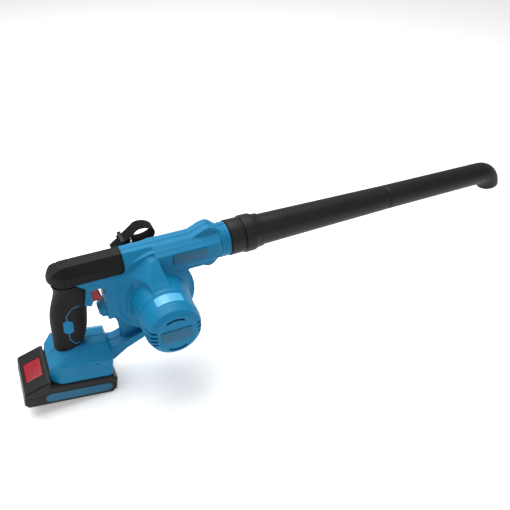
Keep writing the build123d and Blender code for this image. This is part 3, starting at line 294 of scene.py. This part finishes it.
def skin(name, rings, closed=True):
    """Mesh through rings of points; the last ring joins the first when closed."""
    mesh = bmesh.new()
    rows = [[mesh.verts.new(p) for p in ring] for ring in rings]
    count = len(rows[0])
    pairs = list(zip(rows, rows[1:]))
    if closed:
        pairs.append((rows[-1], rows[0]))
    for low, high in pairs:
        for i in range(count):
            j = (i + 1) % count
            mesh.faces.new((low[i], low[j], high[j], high[i]))
    if not closed:
        mesh.faces.new(list(reversed(rows[0])))
        mesh.faces.new(rows[-1])
    bmesh.ops.recalc_face_normals(mesh, faces=mesh.faces)
    data = bpy.data.meshes.new(name)
    mesh.to_mesh(data)
    mesh.free()
    data.shade_smooth()
    data.set_sharp_from_angle(angle=radians(35))
    obj = bpy.data.objects.new(name, data)
    SCENE.collection.objects.link(obj)
    return obj


AROUND = 96
TUBE_AXIS = Vector(JOINTS["collar_twist"]["pos_m"])


def ring_at(centre, normal_up, radius):
    """Circle of points about a centre, in the plane of +Y and normal_up."""
    return [
        centre + Vector((0, 1, 0)) * (radius * cos(a)) + normal_up * (radius * sin(a))
        for a in (2 * pi * i / AROUND for i in range(AROUND))
    ]


def lathe(name, profile):
    """Solid of revolution about the tube axis, from a closed profile of (x, radius) in metres."""
    rings = [
        ring_at(Vector((x, TUBE_AXIS.y, TUBE_AXIS.z)), Vector((0, 0, 1)), r) for x, r in profile
    ]
    return skin(name, rings)


def eased(points, radius):
    """Profile with its corners cut to short arcs."""
    out = []
    count = len(points)
    for i, p in enumerate(points):
        p = Vector(p)
        before, after = Vector(points[i - 1]), Vector(points[(i + 1) % count])
        a, b = before - p, after - p
        reach = min(radius, 0.4 * a.length, 0.4 * b.length)
        start, end = p + a.normalized() * reach, p + b.normalized() * reach
        for step in range(4):
            t = step / 3
            out.append(tuple(start.lerp(p, t).lerp(p.lerp(end, t), t)))
    return out


# ------------------------------------------------------------------ housing, cover, pads
VOXEL = 0.0009
for node in ("housing_right", "housing_left"):
    soft_moulded(node, "blue_shell", VOXEL, 6)
soft_moulded("motor_cover", "blue_shell", 0.00065, 6)
soft_moulded("top_pad", "black_rubber", 0.0006, 4)
soft_moulded("grip_sleeve", "black_rubber", 0.0006, 6)
soft_moulded("trigger", "red_plastic", 0.0005, 6)
soft_moulded("battery_top", "black_plastic", 0.0005, 2)
soft_moulded("battery_bottom", "black_plastic", 0.0007, 4)
edged("battery_button", "red_plastic", 0.0005)
edged("grip_inlays", "blue_shell", 0.0002)
edged("badge_plate", "blue_plate", 0.0004)
edged("model_plate", "blue_plate", 0.0004)
edged("intake_grille", "black_plastic", 0.0004)
edged("strap_keeper", "black_plastic", 0.0006)

# ------------------------------------------------------------------ blow tube
low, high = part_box("nozzle_collar")
ring_r = (high.y - low.y) / 2
collar_r = ring_r - 1.5 * MM
x0, x1 = low.x, high.x
rear_low, rear_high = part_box("tube_rear")
rear_r = (rear_high.y - rear_low.y) / 2
neck_r = ring_r - 3.2 * MM
collar = lathe("nozzle_collar_piece", eased([
    (x0, neck_r),
    (x0, collar_r),
    (x0 + 19 * MM, collar_r - 0.2 * MM),
    (x0 + 19.4 * MM, collar_r - 0.9 * MM),
    (x0 + 20.4 * MM, collar_r - 0.9 * MM),
    (x0 + 20.8 * MM, ring_r),
    (x0 + 35 * MM, ring_r - 0.1 * MM),
    (x0 + 37 * MM, ring_r - 1.4 * MM),
    (x0 + 38 * MM, ring_r - 1.5 * MM),
    (x0 + 42 * MM, ring_r - 2.6 * MM),
    (x1, rear_r + 1.6 * MM),
    (x1, rear_r),
    (x0 + 22.3 * MM, rear_r),
    (x0 + 22.3 * MM, rear_r - 1.6 * MM),
    (x0 + 19.4 * MM, rear_r - 1.6 * MM),
    (x0 + 19.4 * MM, neck_r),
], 0.7 * MM))
finish_piece(collar, "nozzle_collar", "tube_black")

seam_x = JOINTS["front_tube_turn"]["pos_m"][0]
seam_r = 18.0 * MM
wall = 1.8 * MM
socket_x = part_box("nozzle_collar")[1].x
rear = lathe("tube_rear_piece", eased([
    (rear_low.x, rear_r - wall),
    (rear_low.x, rear_r),
    (socket_x, rear_r),
    (seam_x - 3.4 * MM, seam_r + 0.1 * MM),
    (seam_x - 1.4 * MM, seam_r - 0.05 * MM),
    (seam_x - 0.5 * MM, seam_r - 0.9 * MM),
    (seam_x - 0.4 * MM, seam_r - wall),
    (rear_high.x, seam_r - wall - 0.6 * MM),
    (rear_high.x, seam_r - 2 * wall - 0.6 * MM),
    (seam_x, seam_r - 2 * wall),
], 0.4 * MM))
finish_piece(rear, "tube_rear", "tube_black")

ELBOW_X = 0.540
ELBOW_R = 0.024
ELBOW_TURN = radians(76)
LIP = 0.005
TIP_R = 0.0168


def front_ring(s, inset):
    """Ring of the front tube at a place along it: below 0 on the straight run, 0 to 1 in the
    elbow, above 1 in the lip."""
    if s <= 0:
        x = ELBOW_X + s * (ELBOW_X - seam_x - 0.1 * MM)
        radius = TIP_R + (seam_r - TIP_R) * -s
        return ring_at(Vector((x, TUBE_AXIS.y, TUBE_AXIS.z)), Vector((0, 0, 1)), radius - inset)
    turn = min(s, 1.0) * ELBOW_TURN
    pivot = Vector((ELBOW_X, TUBE_AXIS.y, TUBE_AXIS.z - ELBOW_R))
    out = Vector((sin(turn), 0, cos(turn)))
    centre = pivot + out * ELBOW_R
    if s > 1:
        centre += Vector((cos(turn), 0, -sin(turn))) * LIP * (s - 1)
    return ring_at(centre, out, TIP_R - inset)


stations = [-1 + 0.05 * i for i in range(21)] + [0.08 * i for i in range(1, 13)] + [1.0, 1.5, 1.9]
outer = [front_ring(-1, 0.9 * MM), front_ring(-0.997, 0.35 * MM), front_ring(-0.990, 0)]
outer += [front_ring(s, 0) for s in stations[1:]]
outer += [front_ring(1.97, 0.15 * MM), front_ring(2.0, 0.55 * MM)]
inner = [front_ring(2.0, wall - 0.5 * MM), front_ring(1.95, wall)]
inner += [front_ring(s, wall) for s in reversed(stations[1:])]
inner += [front_ring(-1, wall - 0.05 * MM)]
front = skin("tube_front_piece", outer + inner)
finish_piece(front, "tube_front", "tube_black")


def slot_bump(name, x, turn, half_long, half_wide, rise, look, body):
    """Low slot-shaped bump moulded on the tube, at a turn from +Y towards +Z."""
    rings = []
    share = (x - seam_x) / (ELBOW_X - seam_x)
    surface = seam_r + (TIP_R - seam_r) * share
    for scale, height in ((1.0, -0.8 * MM), (0.97, 0.5 * rise), (0.88, 0.9 * rise), (0.7, rise)):
        ring = []
        for i in range(48):
            a = 2 * pi * i / 48
            along = half_wide * cos(a) + (half_long - half_wide) * (1 if cos(a) >= 0 else -1)
            angle = turn + scale * half_wide * sin(a) / surface
            r = surface + height
            ring.append(Vector((x + scale * along, TUBE_AXIS.y + r * cos(angle),
                                TUBE_AXIS.z + r * sin(angle))))
        rings.append(ring)
    obj = skin(name, rings, closed=False)
    paint(obj, look)
    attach(obj, body)
    return obj


DETENT_X = seam_x + 66 * MM
DETENT_TURN = radians(128)
slot_bump("tube_detent", DETENT_X, DETENT_TURN, 4.5 * MM, 1.9 * MM, 1.2 * MM,
          "black_plastic", "front_tube")

# ------------------------------------------------------------------ grip trim
MID_Y = TUBE_AXIS.y
GRIP_HALF = 17.0
GRIP_OVALS = [
    (46.0, -106.0, 20.0),
    (18.0, -107.5, 22.5),
    (-3.0, -112.5, 23.5),
    (-23.0, -115.0, 23.0),
    (-46.0, -119.5, 20.0),
    (-66.0, -122.0, 16.0),
]


def on_grip(x, z, side, proud):
    """Point in metres on the grip's skin at (x, z) millimetres, on one side (-1 right, 1 left)."""
    for (z1, c1, h1), (z2, c2, h2) in zip(GRIP_OVALS, GRIP_OVALS[1:]):
        if z2 <= z <= z1:
            break
    t = (z1 - z) / (z1 - z2)
    t = t * t * (3 - 2 * t) * 0.3 + t * 0.7
    centre, half = c1 + (c2 - c1) * t, h1 + (h2 - h1) * t
    reach = max(0.0, 1 - ((x - centre) / half) ** 2)
    return Vector((x * MM, MID_Y + side * (GRIP_HALF * sqrt(reach) + proud) * MM, z * MM))


def wire(name, points, radius, look, body, close=False):
    """Thin round bead along points."""
    curve = bpy.data.curves.new(name, "CURVE")
    curve.dimensions = "3D"
    curve.bevel_depth = radius
    curve.bevel_resolution = 3
    curve.use_fill_caps = True
    spline = curve.splines.new("POLY")
    spline.points.add(len(points) - 1)
    for point, at in zip(spline.points, points):
        point.co = (*at, 1)
    spline.use_cyclic_u = close
    made = bpy.data.objects.new(name, curve)
    SCENE.collection.objects.link(made)
    graph = bpy.context.evaluated_depsgraph_get()
    mesh = bpy.data.meshes.new_from_object(made.evaluated_get(graph))
    mesh.shade_smooth()
    bpy.data.objects.remove(made)
    obj = bpy.data.objects.new(name, mesh)
    SCENE.collection.objects.link(obj)
    paint(obj, look)
    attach(obj, body)
    return obj


def dense(points, step):
    """Points along a polyline, a step apart."""
    out = [points[0]]
    for a, b in zip(points, points[1:]):
        count = max(1, int(((b[0] - a[0]) ** 2 + (b[1] - a[1]) ** 2) ** 0.5 / step))
        out += [(a[0] + (b[0] - a[0]) * i / count, a[1] + (b[1] - a[1]) * i / count)
                for i in range(1, count + 1)]
    return out


LINES = {
    "upper": [(-117, -2.5), (-117, 4), (-109, 15), (-99, 16.5)],
    "lower": [(-118, -23.5), (-118.5, -33), (-112.5, -43), (-107, -43.5)],
}
for side, word in ((-1, "right"), (1, "left")):
    for which, route in LINES.items():
        wire(f"grip_line_{which}_{word}", [on_grip(x, z, side, 0.05) for x, z in dense(route, 2)],
             0.45 * MM, "thin_blue", "housing")
    for i in range(9):
        z = 10 - 5.2 * i
        centre = -112 - 0.12 * (10 - z)
        route = [(centre + 9 + 1.3 * k, z - 0.25 * k) for k in range(8)]
        wire(f"grip_rib_{i}_{word}", [on_grip(x, z, side, 0.1) for x, z in route],
             0.55 * MM, "black_rubber", "housing")

FOOT_HALF = 36.0
UNDERSIDE = {m["name"]: m for m in frame["record"]["mounts"]}["battery_underside"]
FOOT_AT = Vector(UNDERSIDE["pos_m"])
FOOT_UP = -Vector(UNDERSIDE["axis"])
FOOT_AHEAD = Vector((FOOT_UP.z, 0, -FOOT_UP.x))


def on_foot(u, w, side, out):
    """Point in metres beside the foot, u forward and w up in millimetres from its underside."""
    across = Vector((0, side * (FOOT_HALF + out) * MM, 0))
    return FOOT_AT + FOOT_AHEAD * (u * MM) + FOOT_UP * (w * MM) + across


# millimetres from the underside: eight vent dots over five framed squares; the vent dots are painted shade, dark
# beads where the shaded insides of the vent holes would show
VENTS, VENT_MIDDLE, VENT_STEP, VENT_LEVEL = 8, 20, 4.2, 54.5
VENT_SUNK = 0.55
PANELS, PANEL_FIRST, PANEL_STEP, PANEL_HALF = 5, 6, 9.5, 3
PANEL_LOW, PANEL_HIGH = 44, 49
for side, word in ((-1, "right"), (1, "left")):
    for i in range(VENTS):
        u = VENT_MIDDLE + VENT_STEP * (i - (VENTS - 1) / 2)
        ends = [on_foot(u + 0.25 * k, VENT_LEVEL + 0.2 * k, side, -VENT_SUNK) for k in (-1, 1)]
        # painted shade: a short dark bead stands for the shade inside each vent hole
        wire(f"foot_vent_shade_{i}_{word}", ends, 0.85 * MM, "black_plastic", "housing")
    for i in range(PANELS):
        u = PANEL_FIRST + PANEL_STEP * i
        outline = [(u - PANEL_HALF, PANEL_LOW), (u + PANEL_HALF, PANEL_LOW),
                   (u + PANEL_HALF, PANEL_HIGH), (u - PANEL_HALF, PANEL_HIGH)]
        wire(f"foot_panel_{i}_{word}", [on_foot(a, b, side, -0.1) for a, b in outline],
             0.3 * MM, "blue_plate", "housing", close=True)

# ------------------------------------------------------------------ labels
low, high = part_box("rating_label")


def wrapped_label(name, radius, start, end, y0, y1, look, body, thick):
    """Thin label wrapped on the cover's round side, with a rounded outline."""
    rings = []
    count = 28
    for i in range(count + 1):
        a = radians(start + (end - start) * i / count)
        rim = min(i, count - i) / 2.0
        pull = 0.0012 * max(0.0, 1 - rim) ** 2
        for_ring = []
        for y, r in ((y0 + pull, radius), (y1 - pull, radius), (y1 - pull, radius + thick),
                     (y0 + pull, radius + thick)):
            for_ring.append(Vector((r * cos(a), y, r * sin(a))))
        rings.append(for_ring)
    obj = skin(name, rings, closed=False)
    paint(obj, look)
    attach(obj, body)
    return obj


label_r = 36.35 * MM
LABEL_FROM, LABEL_TO = 60, 116
label = wrapped_label("rating_label_piece", label_r, LABEL_FROM, LABEL_TO, low.y, high.y,
                      "pale_label", "housing", 0.35 * MM)
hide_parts("rating_label")

# ------------------------------------------------------------------ strap
edge_low, edge_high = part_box("strap_webbing")
STRAP_X = JOINTS["strap_swing"]["pos_m"][0]
RING_TOP = JOINTS["strap_swing"]["pos_m"][2] + 14 * MM
WEBBING = 1.5 * MM


def catmull(points, count):
    """Smooth run through points, as many steps between each two."""
    out = []
    padded = [2 * points[0] - points[1], *points, 2 * points[-1] - points[-2]]
    for a, b, c, d in zip(padded, padded[1:], padded[2:], padded[3:]):
        for i in range(count):
            t = i / count
            out.append(0.5 * ((2 * b) + (c - a) * t + (2 * a - 5 * b + 4 * c - d) * t * t
                              + (3 * b - a - 3 * c + d) * t ** 3))
    out.append(points[-1])
    return out


FOLD = [(-25, -13), (-13, -5.2), (0, -3.2), (14, -7), (29, -3), (33, 6), (24, 13), (12, 14),
        (3, 8), (-6, 1.4), (-15, -2.2)]
line = catmull([Vector((STRAP_X + x * MM, 0, RING_TOP + z * MM)) for x, z in FOLD], 10)
width = edge_high.y - edge_low.y
rings = []
ACROSS = 12
for i, at in enumerate(line):
    ahead = line[min(i + 1, len(line) - 1)] - line[max(i - 1, 0)]
    normal = Vector((-ahead.z, 0, ahead.x)).normalized()
    ring = []
    for side, order in ((1, range(ACROSS + 1)), (-1, range(ACROSS, -1, -1))):
        for k in order:
            t = k / ACROSS
            rib = 0.12 * MM * (1 if k % 2 else 0)
            edge = 0.45 * MM if k in (0, ACROSS) else 0
            y = edge_low.y + width * t
            ring.append(at + normal * side * (WEBBING / 2 - edge - rib) + Vector((0, y, 0)))
    rings.append(ring)
webbing = skin("strap_webbing_piece", rings, closed=False)
finish_piece(webbing, "strap_webbing", "webbing")

# ------------------------------------------------------------------ stage and light
FLOOR_Z = CAD_LOW.z
floor_mesh = bpy.data.meshes.new("floor")
REACH = 6.0
floor_mesh.from_pydata(
    [(-REACH, -REACH, FLOOR_Z), (REACH, -REACH, FLOOR_Z), (REACH, REACH, FLOOR_Z),
     (-REACH, REACH, FLOOR_Z)], [], [(0, 1, 2, 3)])
floor = bpy.data.objects.new("floor", floor_mesh)
SCENE.collection.objects.link(floor)
floor_look = bpy.data.materials.new("floor_pale")
floor_look.use_nodes = True
floor_shader = floor_look.node_tree.nodes["Principled BSDF"]
floor_shader.inputs["Base Color"].default_value = (0.93, 0.93, 0.93, 1)
floor_shader.inputs["Roughness"].default_value = 0.9
floor_shader.inputs["Emission Color"].default_value = (1.0, 1.0, 1.0, 1)
floor_shader.inputs["Emission Strength"].default_value = 0.30
floor_mesh.materials.append(floor_look)

world = bpy.data.worlds.new("studio")
world.use_nodes = True
world.node_tree.nodes["Background"].inputs["Color"].default_value = (1.0, 1.0, 1.0, 1)
world.node_tree.nodes["Background"].inputs["Strength"].default_value = 0.42
SCENE.world = world


def area_light(name, at, target, size, power):
    """Soft square light aimed at a point."""
    data = bpy.data.lights.new(name, "AREA")
    data.size = size
    data.energy = power
    obj = bpy.data.objects.new(name, data)
    obj.location = at
    aim = Vector(target) - Vector(at)
    obj.rotation_euler = aim.to_track_quat("-Z", "Y").to_euler()
    SCENE.collection.objects.link(obj)


area_light("key", (-0.15, 0.45, 1.4), (0.1, 0, 0), 1.6, 36)
area_light("fill", (0.4, -1.3, 0.9), (0.1, 0, 0), 1.0, 2)
